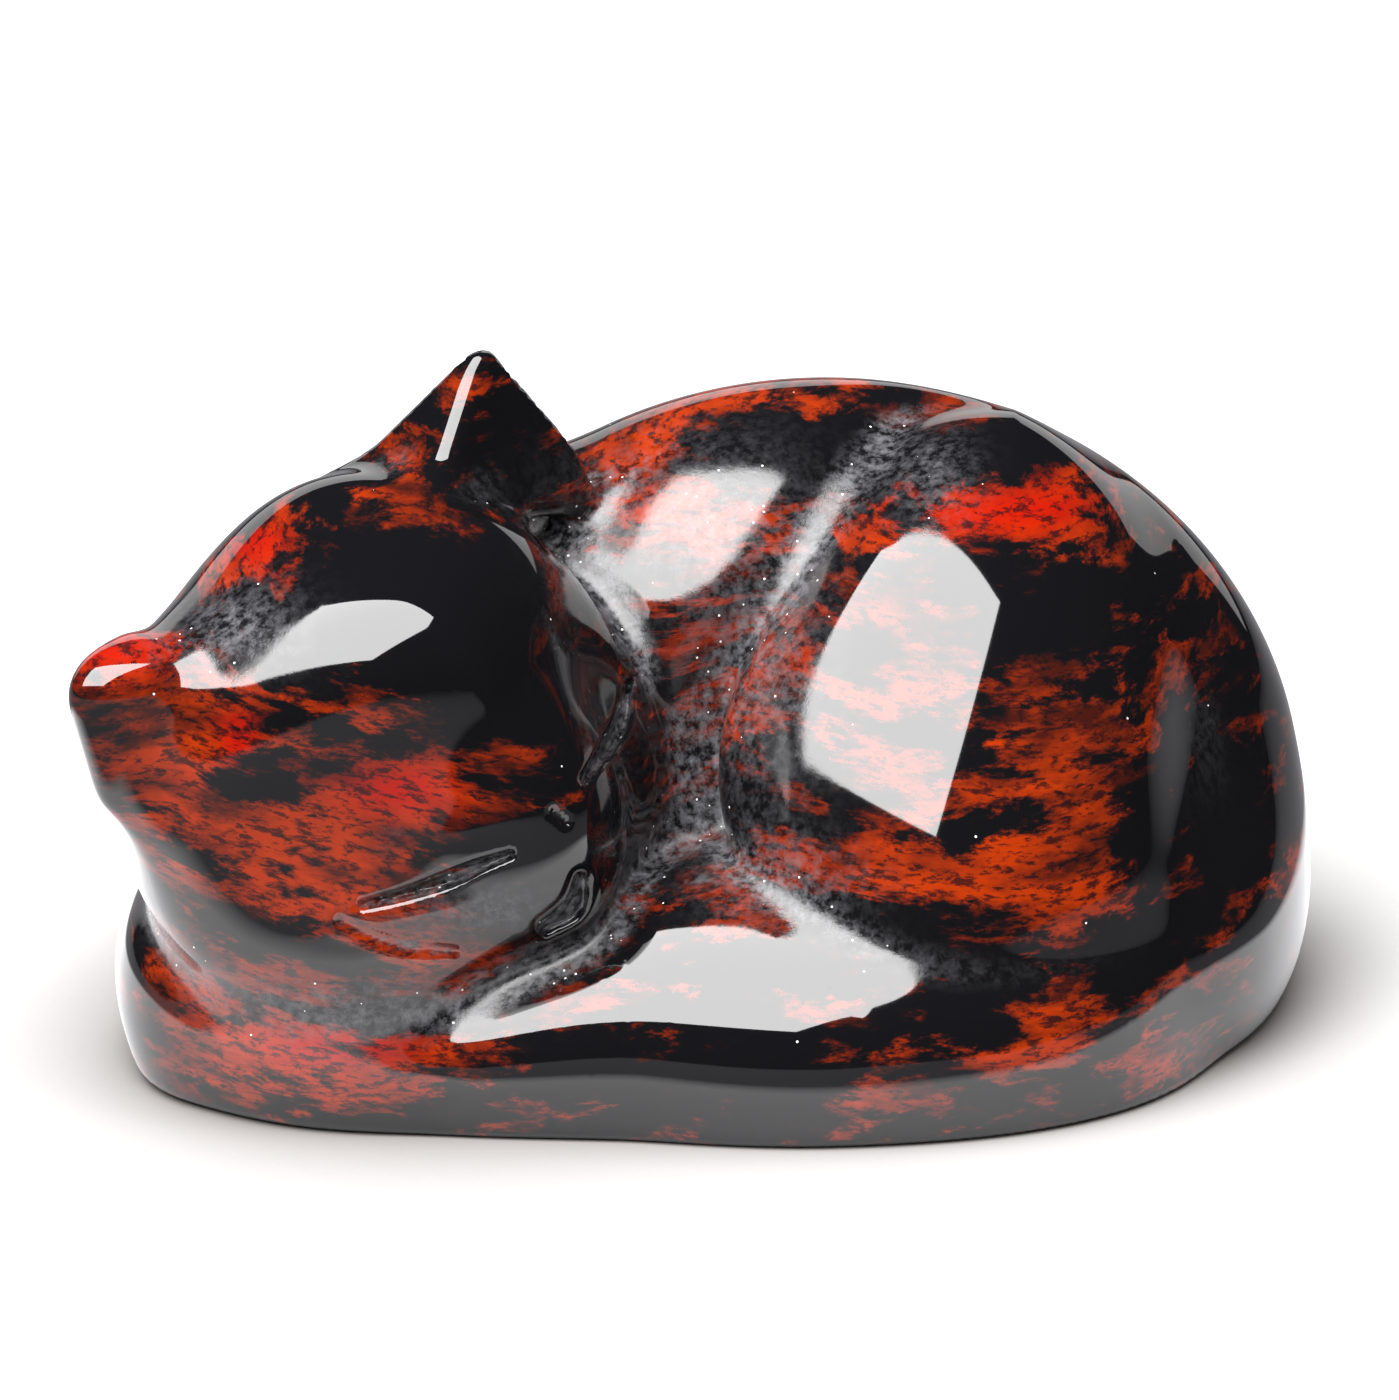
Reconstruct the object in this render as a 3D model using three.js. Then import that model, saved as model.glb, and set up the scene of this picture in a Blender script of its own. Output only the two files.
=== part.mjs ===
// A curled-up sleeping cat, carved from one block of volcanic glass and polished.
// Millimetres. +X runs to the rump, +Y to the cat's back, +Z up; the flat base lies on z = 0.
// The body is one smooth field (negative inside) that is skinned on a grid, then settled on the field.
import * as THREE from "three";

// overall limits of the grid the field is skinned on
const gridMin = [-28, -19, -1.6];
const gridMax = [28, 19.5, 30.5];
const coarseStep = 1.45;
const fineStep = 0.9;
const fineMin = [-15, -18, 4];          // finer cells round the face
const fineMax = [-1, -5, 19];
const relaxRounds = 2;                  // evens the mesh out along the creases

// body
const baseRound = 0.6;                  // edge round where the sides meet the flat base
const torso = { centre: [5.4, 5.2, 7.0], radii: [19.5, 12.2, 17.9] };
const shoulder = { centre: [-8.0, 6.0, 8.0], radii: [12.0, 11.0, 12.4] };
const chest = { centre: [-5.0, -5.0, 3.6], radii: [7.0, 5.6, 5.6] };     // fills the hollow under the chin
const rump = { centre: [12.0, 1.4, 3.8], radii: [12.6, 12.5, 9.2] };
const scoop = { centre: [1.2, -9.0, 15.0], radii: [3.2, 4.6, 6.0] };     // between the head and the haunch
const haunch = {
  centre: [9.7, -3.2, 13.0],
  radii: [9.3, 13.6, 6.4],
  axes: [[1, 0, 0], [0, -0.616, -0.788], [0, -0.788, 0.616]],
};
const paw = { centre: [-15.4, -4.6, 3.6], radii: [7.4, 9.6, 5.8], yaw: 20 };

// tail and hind leg wrapped along the front: x, y, z and the radius there
const tailPath = [
  [17.5, 10.0, 4.0, 4.4],
  [19.5, 5.0, 3.4, 4.4],
  [15.6, -1.9, 1.6, 7.2],
  [11.6, -5.3, 0.6, 9.0],
  [5.0, -5.9, -0.3, 10.2],
  [-2.0, -7.0, 0.4, 8.4],
  [-8.0, -8.8, 0.6, 6.2],
  [-13.0, -9.2, 1.6, 5.0],
  [-17.5, -7.0, 3.0, 5.0],
];
const tailSteps = 60;
const tailWall = 0.7;                   // how far the tail's sides are ground flat
const tailWallRound = 0.9;

// head: its own frame, where a point is (forward to the nose, sideways to the raised ear, up to the crown)
const headCentre = [-11.8, -5.2, 12.1];
const headForward = [0.687, -0.713, -0.143];
const headSide = [0.705, 0.605, 0.37];
const skull = { at: [1.4, -0.9, 1.4], radii: [11.3, 10.8, 10.4] };
const crown = { at: [-2.2, 2.4, 5.3], radii: [5.8, 5.1, 5.4] };
const brow = { at: [-11.4, 7.2, -1.6], radius: 22.9 };                   // a large ball for half the forehead
const muzzle = { at: [6.9, 0, 0.6], radii: [4.2, 4.4, 4.8] };
const cheek = { at: [1.2, 5.4, -2.6], radii: [6.8, 5.8, 6.6] };
const raisedEar = {
  tip: [-3.3, 11.8, 13.3],
  corners: [[-0.4, 5.0, 10.0], [0.9, 14.8, 2.7], [-7.5, 3.3, 7.4]],
  round: 0.9,
};
const loweredEar = {
  tip: [-3.5, -12.8, 13.8],
  corners: [[0.5, -5.4, 10.7], [-0.8, -14.4, 0.7], [-8.0, -4.0, 8.0]],
  round: 3.0,
};

// how softly the pieces of the body run into each other
const soften = {
  shoulder: 3.0,
  scoop: 3.0,
  haunch: 1.0,
  rump: 3.0,
  tail: 1.4,
  paw: 2.5,
  head: 1.2,
  crown: 3.0,
  browRidge: 0.4,
  browEdge: 1.4,
  muzzle: 2.4,
  cheek: 2.5,
  raisedEar: 1.4,
  loweredEar: 1.6,
};
// behind this span of x the haunch runs into the back without a groove
const haunchBehind = { from: 8.0, to: 13.0, soften: 2.5 };
// soft grooves ground along the joins: how deep, and how wide the fields' difference is
const grooves = {
  haunch: [1.1, 1.0],
  tail: [0.25, 0.9],
  head: [0.3, 1.2],
};

const stone = { colour: 0x3a1813, roughness: 0.1, metalness: 0 };

const add = (a, b) => [a[0] + b[0], a[1] + b[1], a[2] + b[2]];
const sub = (a, b) => [a[0] - b[0], a[1] - b[1], a[2] - b[2]];
const scale = (a, k) => [a[0] * k, a[1] * k, a[2] * k];
const dot = (a, b) => a[0] * b[0] + a[1] * b[1] + a[2] * b[2];
const cross = (a, b) => [
  a[1] * b[2] - a[2] * b[1],
  a[2] * b[0] - a[0] * b[2],
  a[0] * b[1] - a[1] * b[0],
];
const unit = (a) => scale(a, 1 / Math.hypot(...a));

// smooth minimum: the two fields blend where they differ by less than k
function smoothMin(a, b, k) {
  const h = Math.max(k - Math.abs(a - b), 0) / k;
  return Math.min(a, b) - h * h * k * 0.25;
}
const smoothMax = (a, b, k) => -smoothMin(-a, -b, k);
const valley = (a, b, k, [depth, width]) => smoothMin(a, b, k) + depth * Math.exp(-(((a - b) / width) ** 2));

function frameOf(forward, side) {
  const f = unit(forward);
  const s = unit(sub(side, scale(f, dot(side, f))));
  return [f, s, cross(f, s)];
}
const turned = (degrees) => {
  const a = THREE.MathUtils.degToRad(degrees);
  return [[Math.cos(a), Math.sin(a), 0], [-Math.sin(a), Math.cos(a), 0], [0, 0, 1]];
};
const upright = turned(0);

// distance to an ellipsoid, close to exact near its surface
function egg(p, centre, radii, axes = upright) {
  const q = sub(p, centre);
  const local = axes.map((axis) => dot(q, axis));
  const k0 = Math.hypot(...local.map((v, i) => v / radii[i]));
  const k1 = Math.hypot(...local.map((v, i) => v / radii[i] ** 2));
  return k1 < 1e-9 ? -Math.min(...radii) : (k0 * (k0 - 1)) / k1;
}

// a flat face through three points, measured away from the inside point
function facePlane(a, b, c, inside) {
  const n = unit(cross(sub(b, a), sub(c, a)));
  const outward = dot(n, sub(inside, a)) > 0 ? scale(n, -1) : n;
  return (p) => dot(sub(p, a), outward);
}

function pyramid(tip, corners, round) {
  const inside = scale(corners.reduce(add, tip), 1 / (corners.length + 1));
  const faces = corners.map((c, i) => facePlane(tip, c, corners[(i + 1) % corners.length], inside));
  faces.push(facePlane(...corners, inside));
  return (p) => faces.map((face) => face(p)).reduce((a, b) => smoothMax(a, b, round));
}

// points along a Catmull-Rom curve through the knots, every column treated alike
function smoothPath(knots, steps) {
  const ends = [
    knots[0].map((v, c) => 2 * v - knots[1][c]),
    knots.at(-1).map((v, c) => 2 * v - knots.at(-2)[c]),
  ];
  const k = [ends[0], ...knots, ends[1]];
  const samples = [];
  for (let step = 0; step < steps; step++) {
    const t = Math.min((step * (knots.length - 1)) / (steps - 1), knots.length - 1 - 1e-9);
    const i = Math.floor(t);
    const u = t - i;
    samples.push(k[i].map((a, c) => {
      const [b, n, m] = [k[i + 1][c], k[i + 2][c], k[i + 3][c]];
      const bend = (n - a) * u + (2 * a - 5 * b + 4 * n - m) * u ** 2 + (3 * b - a - 3 * n + m) * u ** 3;
      return 0.5 * (2 * b + bend);
    }));
  }
  return samples;
}

// distance to a chain of tapered pieces between samples whose last column is the radius
function ropeDistance(p, samples) {
  const n = samples[0].length - 1;
  let best = Infinity;
  for (let i = 0; i < samples.length - 1; i++) {
    const a = samples[i];
    const b = samples[i + 1];
    let reach = 0;
    let length = 0;
    for (let c = 0; c < n; c++) {
      reach += (p[c] - a[c]) * (b[c] - a[c]);
      length += (b[c] - a[c]) ** 2;
    }
    const t = Math.min(Math.max(reach / length, 0), 1);
    let away = 0;
    for (let c = 0; c < n; c++) {
      away += (p[c] - a[c] - t * (b[c] - a[c])) ** 2;
    }
    best = Math.min(best, Math.sqrt(away) - (a[n] + (b[n] - a[n]) * t));
  }
  return best;
}

const headAxes = frameOf(headForward, headSide);
const onHead = ([f, s, u]) =>
  add(headCentre, add(scale(headAxes[0], f), add(scale(headAxes[1], s), scale(headAxes[2], u))));
const earOf = ({ tip, corners, round }) => pyramid(onHead(tip), corners.map(onHead), round);
const raisedEarField = earOf(raisedEar);
const loweredEarField = earOf(loweredEar);
const cheeks = [1, -1].map((side) => onHead([cheek.at[0], cheek.at[1] * side, cheek.at[2]]));
const skullCentre = onHead(skull.at);
const crownCentre = onHead(crown.at);
const muzzleCentre = onHead(muzzle.at);
const [forward, sideways, up] = brow.at;
const browCentres = [onHead([forward, sideways, up]), onHead([forward, -sideways, up])];
const pawAxes = turned(paw.yaw);
const tailSamples = smoothPath(tailPath, tailSteps);
const wallSamples = tailSamples.map(([x, y, , radius]) => [x, y, radius]);

function headField(p) {
  let d = egg(p, skullCentre, skull.radii, headAxes);
  d = smoothMin(d, egg(p, crownCentre, crown.radii, headAxes), soften.crown);
  const [near, far] = browCentres.map((centre) => Math.hypot(...sub(p, centre)) - brow.radius);
  d = smoothMax(d, smoothMax(near, far, soften.browRidge), soften.browEdge);
  d = smoothMin(d, egg(p, muzzleCentre, muzzle.radii, headAxes), soften.muzzle);
  for (const centre of cheeks) {
    d = smoothMin(d, egg(p, centre, cheek.radii, headAxes), soften.cheek);
  }
  d = smoothMin(d, raisedEarField(p), soften.raisedEar);
  return smoothMin(d, loweredEarField(p), soften.loweredEar);
}

// tapered tube, cut by an upright wall over the same path so that its side is flatter than round
function tailField(p) {
  return smoothMax(ropeDistance(p, tailSamples), ropeDistance(p, wallSamples) + tailWall, tailWallRound);
}

function catField(p) {
  let d = egg(p, torso.centre, torso.radii);
  d = smoothMin(d, egg(p, shoulder.centre, shoulder.radii), soften.shoulder);
  d = smoothMin(d, egg(p, chest.centre, chest.radii), soften.shoulder);
  d = smoothMax(d, -egg(p, scoop.centre, scoop.radii), soften.scoop);
  const thigh = egg(p, haunch.centre, haunch.radii, haunch.axes);
  const behind = THREE.MathUtils.clamp((p[0] - haunchBehind.from) / (haunchBehind.to - haunchBehind.from), 0, 1);
  const inFront = valley(d, thigh, soften.haunch, grooves.haunch);
  d = inFront * (1 - behind) + smoothMin(d, thigh, haunchBehind.soften) * behind;
  d = smoothMin(d, egg(p, rump.centre, rump.radii), soften.rump);
  d = valley(d, tailField(p), soften.tail, grooves.tail);
  d = smoothMin(d, egg(p, paw.centre, paw.radii, pawAxes), soften.paw);
  d = valley(d, headField(p), soften.head, grooves.head);
  return smoothMax(d, -p[2], baseRound);
}

function gradient(p) {
  const h = 0.02;
  return [0, 1, 2].map((axis) => {
    const step = [0, 0, 0];
    step[axis] = h;
    return (catField(add(p, step)) - catField(sub(p, step))) / (2 * h);
  });
}

// grid lines along one axis, closer together inside the fine span
function gridLines(axis) {
  const lines = [gridMin[axis]];
  let at = gridMin[axis];
  while (at < gridMax[axis]) {
    const fine = at >= fineMin[axis] && at < fineMax[axis];
    at += fine ? fineStep : coarseStep;
    lines.push(at);
  }
  return lines;
}

// surface nets: one vertex in every cell the surface crosses, one quad round every crossed edge
function skin() {
  const lines = [0, 1, 2].map(gridLines);
  const [nx, ny, nz] = lines.map((l) => l.length);
  const index = (i, j, k) => (i * ny + j) * nz + k;
  const values = new Float64Array(nx * ny * nz);
  for (let i = 0; i < nx; i++) {
    for (let j = 0; j < ny; j++) {
      for (let k = 0; k < nz; k++) {
        values[index(i, j, k)] = catField([lines[0][i], lines[1][j], lines[2][k]]);
      }
    }
  }
  closePinches(values, index, [nx, ny, nz]);
  const corner = (i, j, k) => [lines[0][i], lines[1][j], lines[2][k]];
  const vertexOf = new Int32Array(nx * ny * nz).fill(-1);
  let points = [];
  for (let i = 0; i < nx - 1; i++) {
    for (let j = 0; j < ny - 1; j++) {
      for (let k = 0; k < nz - 1; k++) {
        const crossings = cellCrossings(values, index, corner, i, j, k);
        if (crossings.length) {
          vertexOf[index(i, j, k)] = points.length;
          points.push(settle(scale(crossings.reduce(add), 1 / crossings.length)));
        }
      }
    }
  }
  const quads = [];
  const size = [nx, ny, nz];
  for (let axis = 0; axis < 3; axis++) {
    const u = (axis + 1) % 3;
    const v = (axis + 2) % 3;
    const cell = [0, 0, 0];
    for (cell[axis] = 0; cell[axis] < size[axis] - 1; cell[axis]++) {
      for (cell[u] = 1; cell[u] < size[u] - 1; cell[u]++) {
        for (cell[v] = 1; cell[v] < size[v] - 1; cell[v]++) {
          const next = [...cell];
          next[axis] += 1;
          const a = values[index(...cell)];
          const b = values[index(...next)];
          if (a < 0 === b < 0) {
            continue;
          }
          const around = [[-1, -1], [0, -1], [0, 0], [-1, 0]].map(([du, dv]) => {
            const c = [...cell];
            c[u] += du;
            c[v] += dv;
            return vertexOf[index(...c)];
          });
          quads.push(a < 0 ? around : around.reverse());
        }
      }
    }
  }
  for (let round = 0; round < relaxRounds; round++) {
    points = relax(points, quads);
  }
  const triangles = [];
  quads.forEach((quad) => splitQuad(quad, points, triangles));
  return { points, triangles };
}

// where the inside touches itself across a grid square's diagonal, the outside corners are filled in
function closePinches(values, index, size) {
  let filled = 1;
  while (filled) {
    filled = 0;
    for (let axis = 0; axis < 3; axis++) {
      const u = (axis + 1) % 3;
      const v = (axis + 2) % 3;
      const at = [0, 0, 0];
      for (at[axis] = 0; at[axis] < size[axis]; at[axis]++) {
        for (at[u] = 0; at[u] < size[u] - 1; at[u]++) {
          for (at[v] = 0; at[v] < size[v] - 1; at[v]++) {
            const square = [[0, 0], [1, 0], [1, 1], [0, 1]].map(([du, dv]) => {
              const c = [...at];
              c[u] += du;
              c[v] += dv;
              return index(...c);
            });
            const inside = square.map((c) => values[c] < 0);
            if (inside[0] === inside[2] && inside[1] === inside[3] && inside[0] !== inside[1]) {
              square.filter((c) => values[c] >= 0).forEach((c) => { values[c] = -0.01; });
              filled += 1;
            }
          }
        }
      }
    }
  }
}

function cellCrossings(values, index, corner, i, j, k) {
  const found = [];
  for (let axis = 0; axis < 3; axis++) {
    for (let side = 0; side < 4; side++) {
      const from = [i, j, k];
      from[(axis + 1) % 3] += side & 1;
      from[(axis + 2) % 3] += side >> 1;
      const to = [...from];
      to[axis] += 1;
      const a = values[index(...from)];
      const b = values[index(...to)];
      if (a < 0 !== b < 0) {
        const t = a / (a - b);
        found.push(add(scale(corner(...from), 1 - t), scale(corner(...to), t)));
      }
    }
  }
  return found;
}

// Newton steps along the slope bring a point onto the surface
function settle(start) {
  let p = start;
  for (let round = 0; round < 6; round++) {
    const g = gradient(p);
    p = sub(p, scale(g, catField(p) / Math.max(dot(g, g), 0.2)));
  }
  return p;
}

// each point moves half way to the mean of its neighbours and is brought back onto the surface
function relax(points, quads) {
  const total = points.map(() => [0, 0, 0]);
  const count = new Array(points.length).fill(0);
  for (const quad of quads) {
    quad.forEach((at, i) => {
      const next = quad[(i + 1) % 4];
      total[at] = add(total[at], points[next]);
      total[next] = add(total[next], points[at]);
      count[at] += 1;
      count[next] += 1;
    });
  }
  return points.map((p, i) => settle(scale(add(p, scale(total[i], 1 / count[i])), 0.5)));
}

// cut a quad along its shorter diagonal
function splitQuad([a, b, c, d], points, triangles) {
  const ac = Math.hypot(...sub(points[a], points[c]));
  const bd = Math.hypot(...sub(points[b], points[d]));
  if (ac <= bd) {
    triangles.push(a, b, c, a, c, d);
  } else {
    triangles.push(a, b, d, b, c, d);
  }
}

const { points, triangles } = skin();
const geometry = new THREE.BufferGeometry();
geometry.setAttribute("position", new THREE.Float32BufferAttribute(points.flat(), 3));
geometry.setIndex(triangles);
geometry.computeBoundingBox();
const middle = geometry.boundingBox.getCenter(new THREE.Vector3());
geometry.translate(-middle.x, -middle.y, 0);       // origin under the middle of the figure
geometry.computeVertexNormals();

const material = new THREE.MeshStandardMaterial({
  color: stone.colour,
  roughness: stone.roughness,
  metalness: stone.metalness,
});
const carvedCat = new THREE.Mesh(geometry, material);
carvedCat.name = "carved_cat";

const group = new THREE.Group();
group.name = "cat_figurine";
group.add(carvedCat);
export default group;
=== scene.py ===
# sleeping cat carved from one block of mahogany obsidian: fine surface, stone, studio
import math

import bpy
import numpy as np
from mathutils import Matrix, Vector


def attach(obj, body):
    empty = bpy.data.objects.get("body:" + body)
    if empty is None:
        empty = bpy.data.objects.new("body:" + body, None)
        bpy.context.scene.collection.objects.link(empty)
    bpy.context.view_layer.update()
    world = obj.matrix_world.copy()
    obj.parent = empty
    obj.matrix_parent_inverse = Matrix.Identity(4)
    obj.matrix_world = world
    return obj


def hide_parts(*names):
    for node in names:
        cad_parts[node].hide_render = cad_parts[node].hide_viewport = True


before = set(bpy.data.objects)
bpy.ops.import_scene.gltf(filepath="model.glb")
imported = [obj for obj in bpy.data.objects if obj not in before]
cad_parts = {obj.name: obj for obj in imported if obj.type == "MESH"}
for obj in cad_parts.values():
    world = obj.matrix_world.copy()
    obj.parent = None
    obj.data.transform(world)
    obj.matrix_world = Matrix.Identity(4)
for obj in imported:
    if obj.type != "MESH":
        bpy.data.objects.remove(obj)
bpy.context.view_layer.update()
mm = 0.001

# fields: arrays of points (..., 3) in millimetres, negative inside


def smoothMin(a, b, k):
    # the lower field, blended where the two differ by less than k
    h = np.maximum(k - np.abs(a - b), 0) / k
    return np.minimum(a, b) - h * h * k / 4


def smoothMax(a, b, k):
    return -smoothMin(-a, -b, k)


def valley(a, b, k, depth, width):
    # smooth join with a soft groove where both surfaces meet: depth * exp(-((a - b) / width) ** 2)
    return smoothMin(a, b, k) + depth * np.exp(-((a - b) / width) ** 2)


def unit(v):
    v = np.asarray(v, float)
    return v / np.linalg.norm(v)


def frameOf(forward, side):
    f = unit(forward)
    s = unit(np.asarray(side, float) - f * np.dot(side, f))
    return np.array([f, s, np.cross(f, s)])


def turned(degrees):
    a = math.radians(degrees)
    return np.array([[math.cos(a), math.sin(a), 0], [-math.sin(a), math.cos(a), 0], [0, 0, 1]])


def egg(p, centre, radii, axes=None):
    # ellipsoid: k0 = |q / r|, k1 = |q / r^2|, distance about k0 (k0 - 1) / k1
    q = p - np.asarray(centre, p.dtype)
    if axes is not None:
        q = q @ np.asarray(axes, p.dtype).T
    r = np.asarray(radii, p.dtype)
    k0 = np.linalg.norm(q / r, axis=-1)
    k1 = np.linalg.norm(q / (r * r), axis=-1)
    return k0 * (k0 - 1) / np.maximum(k1, 1e-6)


def pyramid(p, tip, corners, edgeRound):
    # smooth maximum of the flat faces through the tip and each pair of corners, and of the base
    corners = [np.asarray(c, float) for c in corners]
    inside = (np.asarray(tip, float) + sum(corners)) / 4
    d = None
    for a, b, c in [(tip, corners[i], corners[(i + 1) % 3]) for i in range(3)] + [corners]:
        n = unit(np.cross(b - a, c - a))
        n = -n if (inside - a) @ n > 0 else n
        face = p @ n.astype(p.dtype) - p.dtype.type(np.dot(a, n))
        d = face if d is None else smoothMax(d, face, edgeRound)
    return d


def smoothPath(knots, steps):
    # Catmull-Rom curve through the knots, all columns alike
    k = np.asarray(knots, float)
    k = np.vstack([2 * k[0] - k[1], k, 2 * k[-1] - k[-2]])
    t = np.linspace(0, len(k) - 3 - 1e-9, steps)
    i = t.astype(int)
    u = (t - i)[:, None]
    a, b, c, d = k[i], k[i + 1], k[i + 2], k[i + 3]
    bend = (c - a) * u + (2 * a - 5 * b + 4 * c - d) * u ** 2 + (3 * b - a - 3 * c + d) * u ** 3
    return 0.5 * (2 * b + bend)


def alongPath(p, path):
    # distance to the nearest sample of a path less that sample's radius (the last column), sharpened to the
    # lowest point of the parabola through the nearest sample and its two neighbours
    n = p.shape[-1]
    flat = p.reshape(-1, n)
    best = np.full(len(flat), 1e9, p.dtype)
    at = np.zeros(len(flat), np.int32)
    for i, sample in enumerate(path):
        away = np.sqrt(((flat - sample[:n].astype(p.dtype)) ** 2).sum(-1)) - p.dtype.type(sample[-1])
        closer = away < best
        best[closer] = away[closer]
        at[closer] = i

    def reachOf(i):
        sample = path[i]
        return np.sqrt(((flat - sample[:, :n]) ** 2).sum(-1)) - sample[:, -1]

    inner = np.clip(at, 1, len(path) - 2)
    before, here, after = reachOf(inner - 1), reachOf(inner), reachOf(inner + 1)
    bend = np.maximum(before + after - 2 * here, 1e-6)
    along = np.clip((before - after) / (2 * bend), -1, 1)
    sharp = here + 0.5 * along * (after - before) + 0.5 * along ** 2 * bend
    return sharp.reshape(p.shape[:-1]).astype(p.dtype)


# the cat's form in millimetres: an egg is (centre, radii), and every "...Soft" is how widely two parts blend
catForm = {
    "middle": (0.61, 0.99),                      # moved so the origin is under the middle of the figure
    "baseRound": 0.6,
    "bodySoft": 3.0, "pawSoft": 2.5,
    "torso": ((5.4, 5.2, 7.0), (19.5, 12.2, 17.9)),
    "shoulder": ((-8.0, 6.0, 8.0), (12.0, 11.0, 12.4)),
    "chest": ((-5.0, -5.0, 3.6), (7.0, 5.6, 5.6)),
    "rump": ((12.0, 1.4, 3.8), (12.6, 12.5, 9.2)),
    # where the haunch meets the back: blend, groove depth and width in front, blend behind,
    # and the span of x over which the front gives way to behind
    "haunchValley": (1.0, 1.1, 1.0, 2.5, (8.0, 13.0)),
    "scoop": ((1.2, -9.0, 15.0), (3.2, 4.6, 6.0)),   # hollow ground between the head and the haunch
    "haunch": ((9.7, -3.2, 13.0), (9.3, 13.6, 6.4)),
    "haunchAxes": ((1, 0, 0), (0, -0.616, -0.788), (0, -0.788, 0.616)),
    "paw": ((-15.4, -4.6, 3.6), (7.4, 9.6, 5.8)),
    "pawTurn": 20,
    # leg and tail along the front: x, y, z, radius
    "tail": [(17.5, 10.0, 4.0, 4.4), (19.5, 5.0, 3.4, 4.4), (15.6, -1.9, 1.6, 7.2), (11.6, -5.3, 0.6, 9.0),
             (5.0, -5.9, -0.3, 10.2), (-2.0, -7.0, 0.4, 8.4), (-8.0, -8.8, 0.6, 6.2), (-13.0, -9.2, 1.6, 5.0),
             (-17.5, -7.0, 3.0, 5.0)],
    "tailSteps": 60,
    "tailWall": 0.7, "tailWallSoft": 0.9,        # how far the tail's sides are ground flat
    "tailValley": (1.4, 0.25, 0.9), "headValley": (1.2, 0.3, 1.2),   # blend, groove depth, groove width
    "headCentre": (-11.8, -5.2, 12.1),
    "headForward": (0.687, -0.713, -0.143),
    "headSide": (0.705, 0.605, 0.37),
    "skull": ((1.4, -0.9, 1.4), (11.3, 10.8, 10.4)),
    "crown": ((-2.2, 2.4, 5.3), (5.8, 5.1, 5.4)), "crownSoft": 3.0,
    # each half of the forehead is ground to a large ball: centre, radius, edge round, middle ridge round
    "brow": ((-11.4, 7.2, -1.6), 22.9, 1.4, 0.4),
    "muzzle": ((6.9, 0, 0.6), (4.2, 4.4, 4.8)), "muzzleSoft": 2.4,
    "cheek": ((1.2, 5.4, -2.6), (6.8, 5.8, 6.6)), "cheekSoft": 2.5,
    # ears: tip, the three corners at the root, edge round, blend into the head
    "raisedEar": ((-3.3, 11.8, 13.3), ((-0.4, 5.0, 10.0), (0.9, 14.8, 2.7), (-7.5, 3.3, 7.4)), 0.9, 1.4),
    "loweredEar": ((-3.5, -12.8, 13.8), ((0.5, -5.4, 10.7), (-0.8, -14.4, 0.7), (-8.0, -4.0, 8.0)), 3.0, 1.6),
}
headAxes = frameOf(catForm["headForward"], catForm["headSide"])


def onHead(p):
    # (forward, sideways, up) on the head to the figure's own frame
    return np.asarray(catForm["headCentre"]) + np.asarray(p, float) @ headAxes


def headField(p):
    form = catForm
    d = egg(p, onHead(form["skull"][0]), form["skull"][1], headAxes)
    d = smoothMin(d, egg(p, onHead(form["crown"][0]), form["crown"][1], headAxes), form["crownSoft"])
    (f, s, u), radius, edgeRound, ridgeRound = form["brow"]
    ballCentres = [onHead((f, s * side, u)).astype(p.dtype) for side in (1, -1)]
    near, far = (np.linalg.norm(p - centre, axis=-1) - radius for centre in ballCentres)
    d = smoothMax(d, smoothMax(near, far, ridgeRound), edgeRound)
    d = smoothMin(d, egg(p, onHead(form["muzzle"][0]), form["muzzle"][1], headAxes), form["muzzleSoft"])
    (f, s, u), radii = form["cheek"]
    for side in (1, -1):
        d = smoothMin(d, egg(p, onHead((f, s * side, u)), radii, headAxes), form["cheekSoft"])
    for name in ("raisedEar", "loweredEar"):
        tip, corners, edgeRound, soft = form[name]
        d = smoothMin(d, pyramid(p, onHead(tip), [onHead(c) for c in corners], edgeRound), soft)
    return d


tailPath = smoothPath(catForm["tail"], catForm["tailSteps"])


def tailField(p):
    # tapered tube, cut by an upright wall over the same path so that its side is flatter than round
    tube = alongPath(p, tailPath)
    wall = alongPath(p[..., :2], tailPath[:, [0, 1, 3]]) + catForm["tailWall"]
    return smoothMax(tube, wall, catForm["tailWallSoft"])


def catField(p):
    form = catForm
    soft = form["bodySoft"]
    d = egg(p, *form["torso"])
    d = smoothMin(d, egg(p, *form["shoulder"]), soft)
    d = smoothMin(d, egg(p, *form["chest"]), soft)
    d = smoothMax(d, -egg(p, *form["scoop"]), soft)
    haunch = egg(p, *form["haunch"], form["haunchAxes"])
    blend, depth, width, blendBehind, (front, behind) = form["haunchValley"]
    share = np.clip((p[..., 0] - front) / (behind - front), 0, 1)
    d = valley(d, haunch, blend, depth, width) * (1 - share) + smoothMin(d, haunch, blendBehind) * share
    d = smoothMin(d, egg(p, *form["rump"]), soft)
    d = valley(d, tailField(p), *form["tailValley"])
    d = smoothMin(d, egg(p, *form["paw"], turned(form["pawTurn"])), form["pawSoft"])
    d = valley(d, headField(p), *form["headValley"])
    return smoothMax(d, -p[..., 2], form["baseRound"])


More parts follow.
